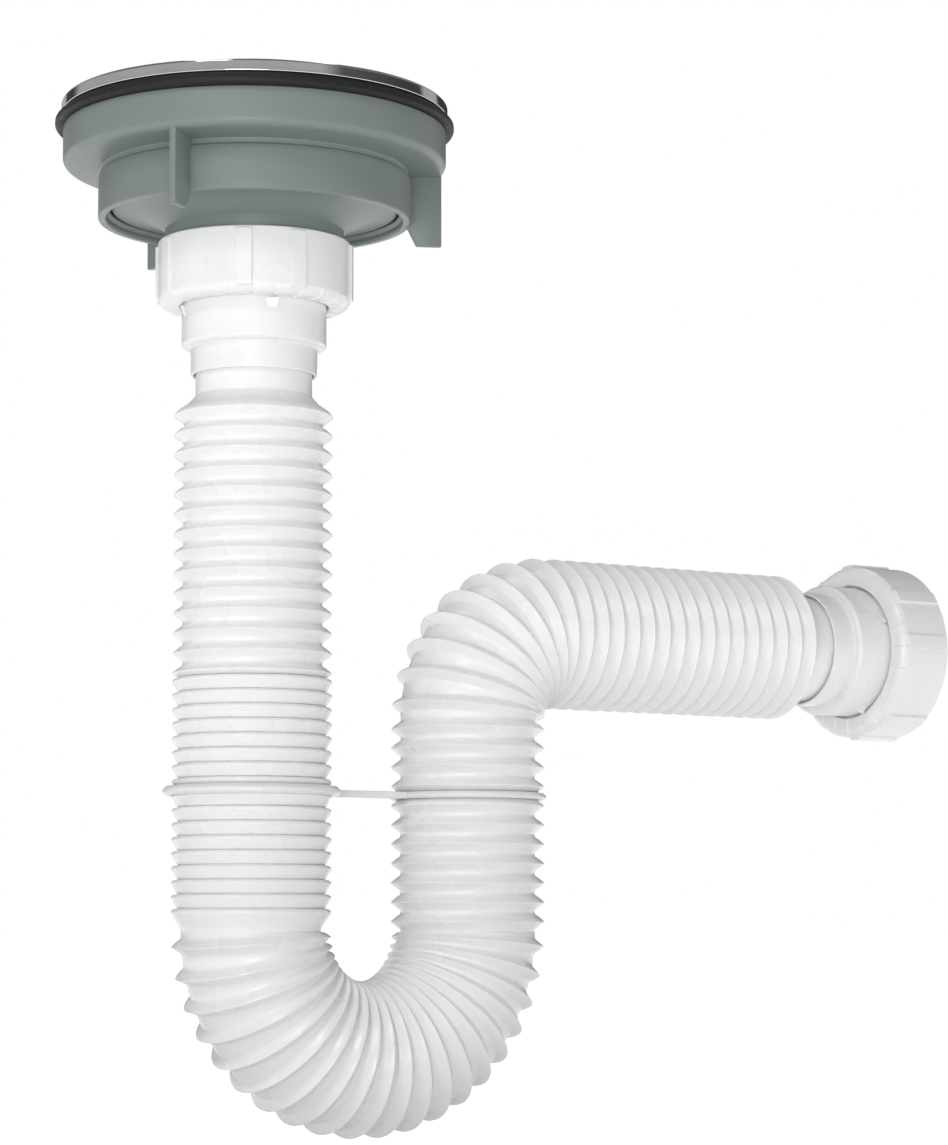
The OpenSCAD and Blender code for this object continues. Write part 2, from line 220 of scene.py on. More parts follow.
def slab(name, outline, thickness, bevel, place):
    """A flat plate with rounded edges: outline [(u, v)] in millimetres, and thickness along w.

    place maps (u, v, w) to a point."""
    bm = bmesh.new()
    face = bm.faces.new([bm.verts.new((u, v, -thickness / 2)) for u, v in outline])
    top = bmesh.ops.extrude_face_region(bm, geom=[face])
    for vertex in [g for g in top["geom"] if isinstance(g, bmesh.types.BMVert)]:
        vertex.co.z = thickness / 2
    bmesh.ops.recalc_face_normals(bm, faces=bm.faces)
    bmesh.ops.bevel(bm, geom=list(bm.edges), offset=bevel, segments=3, profile=0.5, affect="EDGES",
                    clamp_overlap=True)
    for vertex in bm.verts:
        vertex.co = Vector(place(*vertex.co)) * MM
    bmesh.ops.recalc_face_normals(bm, faces=bm.faces)
    mesh = bpy.data.meshes.new(name)
    bm.to_mesh(mesh)
    bm.free()
    return mesh


# ---- Materials ----

# Pointiness of the surface, from flat to a full crease and from flat to a full edge
CREASE = (0.49, 0.40)
EDGE = (0.53, 0.62)


class Nodes:
    """A few shorthands for a node material."""

    def __init__(self, name):
        self.material = bpy.data.materials.new(name)
        self.material.use_nodes = True
        self.tree = self.material.node_tree
        self.shader = self.tree.nodes["Principled BSDF"]
        self.place = self.new("ShaderNodeTexCoord").outputs["Object"]

    def new(self, kind, **settings):
        node = self.tree.nodes.new(kind)
        for key, value in settings.items():
            setattr(node, key, value)
        return node

    def link(self, a, b):
        self.tree.links.new(a, b)

    def noise(self, scale, detail, roughness=0.5, stretch=None):
        node = self.new("ShaderNodeTexNoise")
        node.inputs["Scale"].default_value = scale
        node.inputs["Detail"].default_value = detail
        node.inputs["Roughness"].default_value = roughness
        place = self.place
        if stretch:
            mapping = self.new("ShaderNodeMapping")
            mapping.inputs["Scale"].default_value = stretch
            self.link(place, mapping.inputs["Vector"])
            place = mapping.outputs["Vector"]
        self.link(place, node.inputs["Vector"])
        return node.outputs["Fac"]

    def spread(self, value, low_in, high_in, low_out=0, high_out=1):
        node = self.new("ShaderNodeMapRange")
        node.inputs["From Min"].default_value = low_in
        node.inputs["From Max"].default_value = high_in
        node.inputs["To Min"].default_value = low_out
        node.inputs["To Max"].default_value = high_out
        self.link(value, node.inputs["Value"])
        return node.outputs["Result"]

    def math(self, operation, a, b=0):
        node = self.new("ShaderNodeMath", operation=operation)
        for socket, value in zip(node.inputs, (a, b)):
            if isinstance(value, (int, float)):
                socket.default_value = value
            else:
                self.link(value, socket)
        return node.outputs[0]

    def mix(self, factor, a, b):
        node = self.new("ShaderNodeMix", data_type="RGBA")
        self.link(factor, node.inputs["Factor"])
        for socket, value in ((node.inputs[6], a), (node.inputs[7], b)):
            if isinstance(value, tuple):
                socket.default_value = (*value, 1)
            else:
                self.link(value, socket)
        return node.outputs[2]

    def bump(self, height, strength, distance, below=None):
        node = self.new("ShaderNodeBump")
        node.inputs["Strength"].default_value = strength
        node.inputs["Distance"].default_value = distance
        self.link(height, node.inputs["Height"])
        if below is not None:
            self.link(below, node.inputs["Normal"])
        return node.outputs["Normal"]

    def set(self, **values):
        for key, value in values.items():
            socket = self.shader.inputs[key.replace("_", " ")]
            if isinstance(value, (int, float)):
                socket.default_value = value
            elif isinstance(value, tuple):
                socket.default_value = (*value, 1) if len(value) == 3 and socket.type == "RGBA" else value
            else:
                self.link(value, socket)


def moulded(name, colour, dark, rough, grain, grain_depth, subsurface=0.0):
    """Moulded plastic: cloudy colour, uneven gloss, fine mould grain, painted shade in the folds, rubbed
    edges.
    """
    m = Nodes(name)
    bend = m.new("ShaderNodeNewGeometry").outputs["Pointiness"]
    # Painted shade: the colour darkens towards the dark colour in creases and folds, where shade falls,
    # broken up by noise.
    crease_shade = m.math("MULTIPLY", m.spread(bend, *CREASE), m.spread(m.noise(60, 3), 0.3, 0.8, 0.45, 1))
    base = m.mix(m.spread(m.noise(12, 1), 0.3, 0.7), tuple(c * 0.994 for c in colour), colour)
    base = m.mix(m.math("MULTIPLY", crease_shade, 0.32), base, dark)
    gloss = m.spread(m.noise(60, 2), 0.3, 0.7, rough - 0.015, rough + 0.02)
    gloss = m.math("ADD", gloss, m.math("MULTIPLY", m.spread(bend, *EDGE), 0.06))
    fine = m.bump(m.noise(grain, 2), 0.12, grain_depth)
    m.set(Base_Color=base, Roughness=gloss, Normal=m.bump(m.noise(22, 1), 0.06, 0.0003, fine), IOR=1.49)
    if subsurface:
        m.set(Subsurface_Weight=subsurface, Subsurface_Radius=(0.95, 0.97, 1.0), Subsurface_Scale=0.0015)
    return m.material


def rubber_material(name):
    """Black rubber: a film of dust in patches, paler edges and a dull, uneven skin."""
    m = Nodes(name)
    bend = m.new("ShaderNodeNewGeometry").outputs["Pointiness"]
    dust = m.math("MULTIPLY", m.spread(m.noise(90, 6, 0.7), 0.48, 0.8), 0.3)
    base = m.mix(dust, (0.010, 0.010, 0.011), (0.026, 0.026, 0.028))
    base = m.mix(m.math("MULTIPLY", m.spread(bend, *EDGE), 0.3), base, (0.035, 0.035, 0.037))
    gloss = m.spread(m.noise(300, 4, 0.7), 0.3, 0.7, 0.52, 0.66)
    m.set(Base_Color=base, Roughness=gloss, Normal=m.bump(m.noise(2600, 2), 0.3, 0.00005), IOR=1.5,
          Specular_IOR_Level=0.35)
    return m.material


def steel_material(name, rough, turned_marks):
    """Polished stainless sheet: faint turning marks, hairline scratches and smears in the polish."""
    m = Nodes(name)
    at = m.new("ShaderNodeSeparateXYZ")
    m.link(m.place, at.inputs[0])
    squares = [m.math("MULTIPLY", at.outputs[axis], at.outputs[axis]) for axis in ("X", "Y")]
    lines = m.new("ShaderNodeTexNoise", noise_dimensions="1D")
    lines.inputs["Scale"].default_value = 5200
    lines.inputs["Detail"].default_value = 3
    m.link(m.math("SQRT", m.math("ADD", *squares)), lines.inputs["W"])
    smear = m.noise(45, 5, 0.65)
    scratch = m.spread(m.noise(160, 6, 0.8, (1, 9, 3)), 0.62, 0.72)
    gloss = m.spread(smear, 0.35, 0.7, rough, rough + 0.07)
    gloss = m.math("ADD", gloss, m.math("MULTIPLY", scratch, 0.05))
    base = m.mix(m.spread(smear, 0.3, 0.8), (0.72, 0.72, 0.715), (0.62, 0.615, 0.605))
    m.set(Base_Color=base, Metallic=1.0, Roughness=gloss,
          Normal=m.bump(lines.outputs["Fac"], turned_marks, 0.00002))
    return m.material


WHITE = moulded("white_plastic", (0.82, 0.82, 0.82), (0.66, 0.66, 0.66), 0.27, 1900, 0.00003, 0.08)
HOSE = moulded("hose_plastic", (0.87, 0.87, 0.87), (0.62, 0.62, 0.625), 0.27, 1500, 0.00004, 0.10)
GREY = moulded("grey_plastic", (0.180, 0.212, 0.206), (0.12, 0.142, 0.139), 0.40, 2300, 0.00005)
RUBBER = rubber_material("black_rubber")
STEEL = steel_material("polished_steel", 0.06, 0.10)
PRESSED = steel_material("pressed_steel", 0.16, 0.22)


# ---- Hose ----

AROUND = 112
SIDE = np.arange(AROUND) * 2 * math.pi / AROUND
BEND_CELLS = 10
ELBOW_CELLS = 8
# Width of a ridge's side, and the most that it may take of the pitch
FLANK = 2.45
FLANK_SHARE = 0.42
# A ridge's side: distance from the peak in flank widths, and height. One side is straight, one bulges.
STRAIGHT = [(0.03, 0.988), (0.08, 0.93), (0.30, 0.69), (0.60, 0.36), (0.84, 0.11), (0.95, 0.03),
            (1.04, 0.005)]
BULGED = [(0.04, 0.99), (0.12, 0.95), (0.34, 0.78), (0.62, 0.49), (0.88, 0.17), (1.00, 0.04),
          (1.08, 0.005)]
# Folded corrugations, [(distance, radius)]: the shoulder that two of them start with, one in the row,
# the half-open one before the row and the half-open one after it
SHOULDER = [(0.00, 21.30), (0.08, 21.55), (0.13, 22.15), (0.22, 22.62), (0.40, 23.00), (0.66, 23.26),
            (0.92, 23.38)]
FOLD = SHOULDER + [(1.10, 23.40), (1.24, 23.37), (1.40, 23.27), (1.70, 23.08), (2.40, 22.68),
                   (3.10, 22.27), (3.75, 21.88), (3.98, 21.72), (4.10, 21.45)]
FIRST = [(0.00, 20.50), (0.35, 20.52), (0.75, 20.85), (1.30, 21.70), (1.80, 22.42), (2.20, 22.92),
         (2.50, 23.24), (2.72, 23.38), (2.84, 23.40), (2.96, 23.34), (3.20, 23.00), (3.60, 22.35),
         (3.95, 21.84), (4.10, 21.50), (4.20, FOLDED_VALLEY_R)]
LAST = SHOULDER + [(1.20, 23.40), (1.42, 23.33), (2.00, 22.98), (2.90, 22.38), (3.80, 21.80),
                   (4.70, 21.22), (5.40, 20.80), (5.95, 20.57), (6.80, 20.50)]
# The plain cuff, its cone and the first ridge: [(radius, height)] in a coupling's own frame
CUFF = [(17.2, -6.0), (17.2, -25.9), (17.28, -26.35), (17.6, -26.8), (18.2, -27.5), (18.9, -28.35),
        (19.7, -29.1), (20.8, -29.85), (21.9, -30.6), (22.75, -31.35), (23.2, -31.9), (23.36, -32.15),
        (23.40, -32.30), (23.36, -32.44), (23.11, -32.65), (22.47, -33.06), (21.69, -33.63),
        (21.05, -34.14), (20.67, -34.49), (20.53, -34.74), (20.50, -35.235)]
CUFF_WALL = 1.2


def open_cells(length, before, after):
    """[(distance, radius)] of a row of open corrugations, from valley to valley."""
    count = round(length / OPEN_PITCH)
    flank = min(FLANK, OPEN_PITCH * FLANK_SHARE)
    peak = OPEN_PITCH / 2
    ridge = [(0.0, 0.0)] + [(peak - d * flank, h) for d, h in reversed(before)]
    ridge += [(peak, 1.0)] + [(peak + d * flank, h) for d, h in after]
    cells = [(i * OPEN_PITCH + d, VALLEY_R + h * (HOSE_R - VALLEY_R))
             for i in range(count) for d, h in ridge]
    return cells + [(count * OPEN_PITCH, VALLEY_R)]


def folded_cells(count):
    return [(i * FOLDED_PITCH + d, r) for i in range(count) for d, r in FOLD]


def seam():
    """The faint line where the mould's halves meet, on both sides of the hose."""
    return 0.05 * np.exp(-((np.sin(SIDE) ** 2) / 0.0006))


def upright(x, start, way):
    """Places the rings of a vertical stretch from a height upwards (way 1) or downwards (way -1)."""
    def place(d, r):
        r = r + seam()
        return np.stack([x + r * np.cos(SIDE), r * np.sin(SIDE), np.full_like(SIDE, start + way * d)], -1)
    return place


def outward(start):
    """Places the rings of a level stretch along +X."""
    def place(d, r):
        r = r + seam()
        return np.stack([np.full_like(SIDE, start + d), r * np.sin(SIDE), ARM_Z - r * np.cos(SIDE)], -1)
    return place


def tube_shell(outside, place):
    """Rings of a hose wall: the outside profile [(distance, radius)], and the same a wall further in."""
    inside = [(d, r - WALL) for d, r in reversed(outside)]
    return np.stack([place(d, r) for d, r in outside + inside])


def bend_shell(centre, radius, degrees, rise, count, before, after):
    """Rings of a corrugated bend round centre (x, z), over degrees (from, to), with rise 1 up or -1 down.

    The ridges keep their width, and the valleys close up on the inside of the bend."""
    start = math.radians(degrees[0])
    step = math.radians(degrees[1] - degrees[0]) / count
    pitch = abs(step) * (radius + HOSE_R * np.cos(SIDE))
    flank = np.minimum(FLANK, pitch * FLANK_SHARE)
    full_depth = HOSE_R - VALLEY_R
    depth = full_depth * (0.80 + 0.20 * np.cos(SIDE))
    rings = []

    def ring(share, height, at_end=False):
        floor = HOSE_R - (full_depth if at_end else depth)
        rings.append((share, floor + height * (HOSE_R - floor)))

    for i in range(count):
        ring(np.full_like(SIDE, i), 0.0, at_end=i == 0)
        for d, h in reversed(before):
            ring(i + 0.5 - d * flank / pitch, h)
        ring(np.full_like(SIDE, i + 0.5), 1.0)
        for d, h in after:
            ring(i + 0.5 + d * flank / pitch, h)
    ring(np.full_like(SIDE, count), 0.0, at_end=True)

    points = []
    for order, change in ((rings, seam()), (rings[::-1], -WALL)):
        for share, r in order:
            angle = start + share * step
            reach = radius + (r + change) * np.cos(SIDE)
            points.append(np.stack([centre[0] - reach * np.cos(angle), (r + change) * np.sin(SIDE),
                                    centre[1] + rise * reach * np.sin(angle)], -1))
    return np.stack(points)


def hose_piece(node, points, body):
    mesh = grid_mesh(node + "_look", points)
    return finish_mesh(node + "_look", mesh, HOSE, body, node, 55)


def moving_hose(node, points, start, end, share):
    """A stretch of hose made with no body: share(points) gives each point a share from 0 to 1, which is
    worked out and not used.
    """
    piece = hose_piece(node, points, None)
    Vector(start) * MM
    Vector(end) * MM
    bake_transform(piece)
    co = np.array([v.co for v in piece.data.vertices], float) / MM
    share(co).clip(0, 1).astype(np.float32)


def sliding_hose(node, points, start, end):
    """A straight stretch from start to end, made with no body; how far along it each point lies is worked
    out and not used.
    """
    start, end = np.array(start), np.array(end)
    way = (end - start) / np.linalg.norm(end - start)
    length = np.linalg.norm(end - start)
    moving_hose(node, points, start, end, lambda co: (co - start) @ way / length)


def elbow_share(co):
    """How far round the elbow each point lies, from 0 at the riser to 1 at the arm."""
    return np.arctan2(co[:, 2] - RISER_TOP, ARM_X - co[:, 0]) / (math.pi / 2)


drop_points = tube_shell(open_cells(DROP_TOP - DROP_END, BULGED, STRAIGHT), upright(0, DROP_TOP, -1))
sliding_hose("hose_drop_section", drop_points, (0, 0, DROP_TOP), (0, 0, DROP_END))

hose_piece("hose_middle_ring", tube_shell(FIRST, upright(0, DROP_END, -1)), "middle_ring")

section_cells = round((RING_END - SECTION_END) / FOLDED_PITCH)
section_outline = folded_cells(section_cells) + [(section_cells * FOLDED_PITCH, FOLDED_VALLEY_R)]
sliding_hose("hose_folded_section", tube_shell(section_outline, upright(0, RING_END, -1)),
             (0, 0, RING_END), (0, 0, SECTION_END))

# The folded row stops one short, which leaves room for the half-open corrugation before the bend
leg_cells = int((SECTION_END - BEND_Z) / FOLDED_PITCH + 0.01) - 1
leg_outline = folded_cells(leg_cells) + [(leg_cells * FOLDED_PITCH + d, r) for d, r in LAST]
hose_piece("hose_inlet_leg", tube_shell(leg_outline, upright(0, SECTION_END, -1)), "trap")

bend_centre = (BEND_R, BEND_Z)
for node, degrees in (("hose_bend_down", (0, 90)), ("hose_bend_up", (90, 180))):
    bend_points = bend_shell(bend_centre, BEND_R, degrees, -1, BEND_CELLS, BULGED, STRAIGHT)
    hose_piece(node, bend_points, "trap")

riser_outline = open_cells(RISER_TOP - BEND_Z, STRAIGHT, BULGED)
hose_piece("hose_riser", tube_shell(riser_outline, upright(LEG_X, BEND_Z, 1)), "trap")

elbow_points = bend_shell((ARM_X, RISER_TOP), ELBOW_R, (0, 90), 1, ELBOW_CELLS, STRAIGHT, BULGED)
moving_hose("hose_elbow", elbow_points,
            (LEG_X, 0, RISER_TOP), (ARM_X, 0, ARM_Z), elbow_share)

arm_outline = open_cells(ARM_SECTION_X - ARM_X, STRAIGHT, BULGED)
hose_piece("hose_arm", tube_shell(arm_outline, outward(ARM_X)), "arm")

arm_section_outline = open_cells(ARM_END_X - ARM_SECTION_X, STRAIGHT, BULGED)
sliding_hose("hose_arm_section", tube_shell(arm_section_outline, outward(ARM_SECTION_X)),
             (ARM_SECTION_X, 0, ARM_Z), (ARM_END_X, 0, ARM_Z))

cuff_points = turned(CUFF + [(r - CUFF_WALL, z) for r, z in reversed(CUFF)], AROUND)
hose_piece("hose_inlet_cuff", at_inlet(cuff_points), "tail")
hose_piece("hose_outlet_cuff", at_outlet(cuff_points), "outlet")


# ---- Coupling nuts ----

NUT_R = 28.5
NUT_H = 19.5
NOTCHES = 24
NOTCH_ANGLE = 360 / NOTCHES
NOTCH_DEPTH = 0.38
NOTCH_BACK = 0.6
RIB_ANGLES = [quarter * 90 + a for quarter in range(4) for a in (234, 266.5)]
RIB_W = 4.6
RIB_OUT = 0.85
RIB_HALF = math.degrees(RIB_W / 2 / NUT_R)
# The G 1 1/2 thread of the couplings
COUPLING_PITCH = 2.309
NUT_ROOT_R = 25.1
NUT_CREST_R = 24.25


def nut_angles():
    """Even angles round the nut, with more of them at every notch and at the sides of every rib."""
    angles = set(np.round(np.arange(0, 360, 3.0), 3))
    for i in range(NOTCHES):
        angles.update(round((i * NOTCH_ANGLE + d) % 360, 3) for d in (-0.6, -0.3, 0, 0.3, 0.6, 4, 8, 12))
    for centre in RIB_ANGLES:
        for side in (centre - RIB_HALF, centre + RIB_HALF):
            angles.update(round((side + s * d) % 360, 3) for s in (-1, 1) for d in (0.08, 0.25, 0.45, 0.9))
    return sorted(angles)


def nut_shape(angle, r, z):
    """Raises the ribs on the outer wall and cuts the ratchet notches in the rounded rim."""
    away = np.min([np.abs((angle - centre + 180) % 360 - 180) for centre in RIB_ANGLES], axis=0)
    rib = np.clip((RIB_HALF + 0.25 - away) / 0.5, 0, 1)
    rib = rib * rib * (3 - 2 * rib)
    tall = np.clip((z - 2.0) / 0.25, 0, 1) * np.clip((NUT_H - 0.75 - z) / 0.3, 0, 1)
    r = r + np.where(r > NUT_R - 0.2, rib * tall * RIB_OUT, 0)
    along = angle % NOTCH_ANGLE
    ramp = NOTCH_ANGLE - NOTCH_BACK
    cut = NOTCH_DEPTH * np.where(along < ramp, along / ramp, (NOTCH_ANGLE - along) / NOTCH_BACK)
    fade = np.clip((2.4 - z) / 0.8, 0, 1) * (r > 22.2)
    lean = np.clip((r - 25.5) / 3.0, 0, 1)
    return r - cut * fade * lean, z + cut * fade * (1 - lean)


def add_to_wall(outline, heights):
    """The nut's outline with more points on its outer wall."""
    places = [i for i, (r, z) in enumerate(outline) if abs(r - NUT_R) < 1e-6 and z > 2.99]
    wall = [outline[i] for i in places] + [(NUT_R, z) for z in heights]
    return outline[:places[0]] + sorted(wall, key=lambda p: p[1]) + outline[places[-1] + 1:]


def coupling_nut(node, place):
    """A nut with a female thread, a rounded rim with notches, and pairs of ribs on its wall."""
    ridges = []
    top = NUT_H - 0.3
    while top - COUPLING_PITCH > 7.0:
        mid = top - COUPLING_PITCH / 2
        ridges += [(NUT_ROOT_R, mid + 0.98, 0.15), (NUT_CREST_R, mid + 0.30, 0.12),
                   (NUT_CREST_R, mid - 0.30, 0.12), (NUT_ROOT_R, mid - 0.98, 0.15)]
        top -= COUPLING_PITCH
    corners = [(22.0, 0.6, 0.5), (22.5, 0.0, 0.3), (NUT_R, 0.0, 3.0), (NUT_R, NUT_H, 0.55),
               (NUT_ROOT_R, NUT_H, 0.3), *ridges, (NUT_ROOT_R, 2.4, 0.2), (22.0, 2.4, 0.2)]
    # More points near both ends of the wall, where the ribs stop
    near_ends = (3.1, 3.5, NUT_H - 1.2, NUT_H - 1.05, NUT_H - 0.9, NUT_H - 0.75)
    outline = add_to_wall(split_long(rounded(corners, 8), 1.0), near_ends)
    mesh = grid_mesh(node + "_look", place(turned(outline, nut_angles(), nut_shape)))
    finish_mesh(node + "_look", mesh, WHITE, node, node)


coupling_nut("inlet_nut", at_inlet)
coupling_nut("outlet_nut", at_outlet)


# ---- Adapters and washers ----

ADAPTER_BORE = 15.9
SLEEVE_R = 21.4
PAWL_OUTLINE = [(0, -3.8), (0.5, -3.8), (2.0, -0.25), (2.0, 0), (0, 0)]
PAWL_H = 3.6
PAWL_Z = -2.1


def adapter(name, place, node, body, pawl_turn):
    """A stepped sleeve with a flange inside the nut, and four pawls for the nut's notches."""
    corners = [(17.22, -18.2, 0.1), (17.95, -18.6, 0.1), (17.98, -20.2, 0.15), (18.62, -20.2, 0.35),
               (18.75, -12.4, 0.3), (19.1, -12.05, 0.4), (20.6, -11.95, 0.6), (SLEEVE_R, -11.2, 0.7),
               (SLEEVE_R, 2.45, 0.15), (23.7, 2.5, 0.2), (23.7, 4.5, 0.3), (ADAPTER_BORE, 4.5, 0.4),
               (ADAPTER_BORE, -6.0, 0.1), (17.22, -6.0, 0.1)]
    meshes = [grid_mesh(name, place(turned(split_long(rounded(corners, 6), 2.5), 144)))]
    for quarter in range(4):
        base = math.radians(pawl_turn + quarter * 90)

        def on_sleeve(u, v, w, base=base):
            r = SLEEVE_R - 0.5 + u * (0.62 + 0.21 * w)
            angle = base + v / SLEEVE_R
            return place(np.array([r * math.cos(angle), r * math.sin(angle), PAWL_Z + w]))
        meshes.append(slab("pawl", PAWL_OUTLINE, PAWL_H, 0.12, on_sleeve))
    finish_mesh(name, joined(name, meshes), WHITE, body, node)


adapter("inlet_adapter_look", at_inlet, "inlet_adapter", "tail", 258.5)
adapter("outlet_adapter_look", at_outlet, "outlet_adapter", "outlet", 248)


def washer(name, place, node, body):
    """A flat washer with a shallow groove in its upper face."""
    corners = [(16.9, 4.52, 0.3), (23.6, 4.52, 0.5), (23.6, 6.88, 0.6), (20.6, 6.88, 0.2), (20.3, 6.6, 0.2),
               (19.9, 6.6, 0.2), (19.6, 6.88, 0.2), (16.9, 6.88, 0.5)]
    mesh = grid_mesh(name, place(turned(rounded(corners, 4), 112)))
    finish_mesh(name, mesh, RUBBER, body, node)


washer("inlet_washer_look", at_inlet, "inlet_washer", "inlet_washer")
washer("outlet_washer_look", at_outlet, "outlet_washer", "outlet")


# ---- Strainer, flange cover, seals and wing nut ----

BARREL_PITCH = 3.0
BARREL_ROOT_R = 41.6
BARREL_CREST_R = 42.5
TAIL_ROOT_R = 23.0
TAIL_CREST_R = 23.9
TAIL_END = INLET_Z + 7
BOWL_TOP_R = 39.3
TAIL_BORE_R = 19.3
CROSSBAR_Z = -34.8
FLANGE_R = 56.1
WING_NUT_BORE = 43.9
WING_NUT_R = 46.3
WING_ANGLE = 95.5


def thread_corners(root, crest, z0, z1, pitch):
    """Corners of a row of annular ridges from z0 to z1."""
    way = 1 if z1 > z0 else -1
    out = []
    for i in range(int(abs(z1 - z0) / pitch)):
        z = z0 + way * pitch * (i + 0.5)
        foot = way * (pitch / 2 - 0.25)
        top = way * 0.3
        out += [(root, z - foot, 0.2), (crest, z - top, 0.2), (crest, z + top, 0.2), (root, z + foot, 0.2)]
    return out


def bowl(r_out, r_in, z_out, z_in):
    """Corners of the bowl's curved wall, flat at its rim and steeper towards the tail."""
    steps = 22
    return [(r_out + (r_in - r_out) * i / steps, z_out + (z_in - z_out) * (i / steps) ** 2.2, 0)
            for i in range(steps + 1)]


def strainer_body():
    """The flange, its threaded barrel, the bowl, and the threaded tail with two crossbars in its mouth."""
    corners = [(BOWL_TOP_R, FLANGE_TOP, 0.3), (FLANGE_R, FLANGE_TOP, 0.2), (FLANGE_R, 1.2, 0.2),
               (BARREL_CREST_R, 1.2, 0.1), (BARREL_CREST_R, -3.7, 0.2)]
    corners += thread_corners(BARREL_ROOT_R, BARREL_CREST_R, -3.8, -25.5, BARREL_PITCH)
    corners += [(42.3, -26.1, 0.3), (42.2, -26.8, 0.5)]
    corners += bowl(BARREL_ROOT_R, 26.5, -27.1, -32.6)
    corners += [(26.5, -36.3, 0.5), (TAIL_ROOT_R, -36.3, 0.2)]
    corners += thread_corners(TAIL_ROOT_R, TAIL_CREST_R, -36.9, TAIL_END + 0.6, COUPLING_PITCH)
    corners += [(TAIL_ROOT_R, TAIL_END, 0.5), (TAIL_BORE_R, TAIL_END, 0.5)]
    corners += reversed(bowl(BOWL_TOP_R, TAIL_BORE_R, -24.7, -30.2))
    meshes = [lathe("strainer_body_look", corners, 4, 4.0, 160)]
    crossbar = [(-19.6, -1.5), (19.6, -1.5), (19.6, 1.5), (-19.6, 1.5)]
    meshes.append(slab("bar", crossbar, 2.4, 0.4, lambda u, v, w: (u, w, CROSSBAR_Z + v)))
    meshes.append(slab("bar", crossbar, 2.4, 0.4, lambda u, v, w: (w, u, CROSSBAR_Z + v)))
    mesh = joined("strainer_body_look", meshes)
    finish_mesh("strainer_body_look", mesh, GREY, "strainer", "strainer_body")


def flange_cover():
    """A pressed sheet that wraps the flange's edge and turns down into the bowl."""
    corners = [(FLANGE_R, 1.25, 0.2), (57.25, 1.25, 0.35), (57.3, COVER_TOP - 0.9, 0.5),
               (56.7, COVER_TOP - 0.25, 0.7), (55.2, COVER_TOP, 1.2), (45.0, COVER_TOP - 0.35, 3.0),
               (41.2, COVER_TOP - 0.6, 1.6), (38.5, COVER_TOP - 2.9, 1.5), (38.4, -6.0, 0.2),
               (39.2, -6.0, 0.2), (39.2, COVER_TOP - 3.3, 1.0), (41.4, FLANGE_TOP - 0.05, 0.8),
               (FLANGE_R, FLANGE_TOP + 0.02, 0.4)]
    mesh = lathe("flange_cover_look", corners, 8, 2.5, 200)
    finish_mesh("flange_cover_look", mesh, STEEL, "strainer", "flange_cover")


def flange_seal():
    corners = [(42.5, 0.0, 0.1), (57.0, 0.0, 0.4), (57.0, 1.2, 0.4), (42.5, 1.2, 0.1)]
    mesh = grid_mesh("flange_seal_look", turned(rounded(corners, 4), 160))
    finish_mesh("flange_seal_look", mesh, RUBBER, "strainer", "flange_seal")


def sink_gasket():
    corners = [(43.0, GASKET_Z + 0.02, 0.3), (58.4, GASKET_Z, 0.5), (59.2, GASKET_Z + 0.7, 0.7),
               (59.15, -0.8, 0.6), (58.5, -0.1, 0.35), (43.0, -0.1, 0.3)]
    mesh = lathe("sink_gasket_look", corners, 5, 3.0, 200)
    finish_mesh("sink_gasket_look", mesh, RUBBER, "gasket", "sink_gasket")


def wing_nut():
    """A ring under the gasket, a skirt below it, and three wings to turn it by."""
    corners = [(WING_NUT_BORE, GASKET_Z, 0.3), (56.8, GASKET_Z, 0.4), (56.8, -13.9, 2.2), (47.2, -14.7, 0.8),
               (45.4, -14.9, 0.4), (45.4, -16.4, 0.3), (46.1, -16.9, 0.35), (WING_NUT_R, -18.0, 0.3),
               (WING_NUT_R, -29.8, 0.45), (44.2, -29.8, 0.45), (WING_NUT_BORE, -28.9, 0.3)]
    corners += thread_corners(WING_NUT_BORE, 43.0, -28.2, -4.0, BARREL_PITCH)
    meshes = [lathe("wing_nut_look", corners, 6, 3.0, 200)]
    wing_outline = [(45.3, -13.4), (56, -13.4), (56, -35.4), (48.5, -35.4), (46.1, -30.6), (45.3, -29.9)]
    for i in range(3):
        angle = math.radians(WING_ANGLE + 120 * i)

        def wing(u, v, w, c=math.cos(angle), s=math.sin(angle)):
            return (u * c - w * s, u * s + w * c, v)
        meshes.append(slab("wing", wing_outline, 2.0, 0.32, wing))
    mesh = joined("wing_nut_look", meshes)
    finish_mesh("wing_nut_look", mesh, GREY, "wing_nut", "wing_nut")


strainer_body()
flange_cover()
flange_seal()
sink_gasket()
wing_nut()


# ---- Basket ----

CUP_FLOOR_Z = -18.6
CUP_WALL_R = 32
HOLE_R = 1.8
FLOOR_HOLES = ((13, 8), (20, 12), (27, 18))
WALL_HOLES = 18


def drill(cutters, depth):
    """Adds an upright cylinder at the origin that will cut one hole, and gives its points."""
    made = bmesh.ops.create_cone(cutters, cap_ends=True, segments=20, radius1=HOLE_R * MM,
                                 radius2=HOLE_R * MM, depth=depth * MM)
    return made["verts"]


def hole_cutters():
    """Three rings of holes through the cup's floor, and two staggered rows through its wall."""
    cutters = bmesh.new()
    for reach, count in FLOOR_HOLES:
        for i in range(count):
            angle = math.radians(i * 360 / count)
            place = Vector((reach * math.cos(angle), reach * math.sin(angle), CUP_FLOOR_Z)) * MM
            bmesh.ops.translate(cutters, verts=drill(cutters, 4), vec=place)
    for row in range(2):
        for i in range(WALL_HOLES):
            angle = math.radians((i + row / 2) * 360 / WALL_HOLES)
            for vertex in drill(cutters, 14):
                out, side = vertex.co.z + CUP_WALL_R * MM, vertex.co.y
                vertex.co = (out * math.cos(angle) - side * math.sin(angle),
                             out * math.sin(angle) + side * math.cos(angle),
                             vertex.co.x + (row * 6 - 13) * MM)
    mesh = bpy.data.meshes.new("cup_holes")
    cutters.to_mesh(mesh)
    cutters.free()
    return mesh


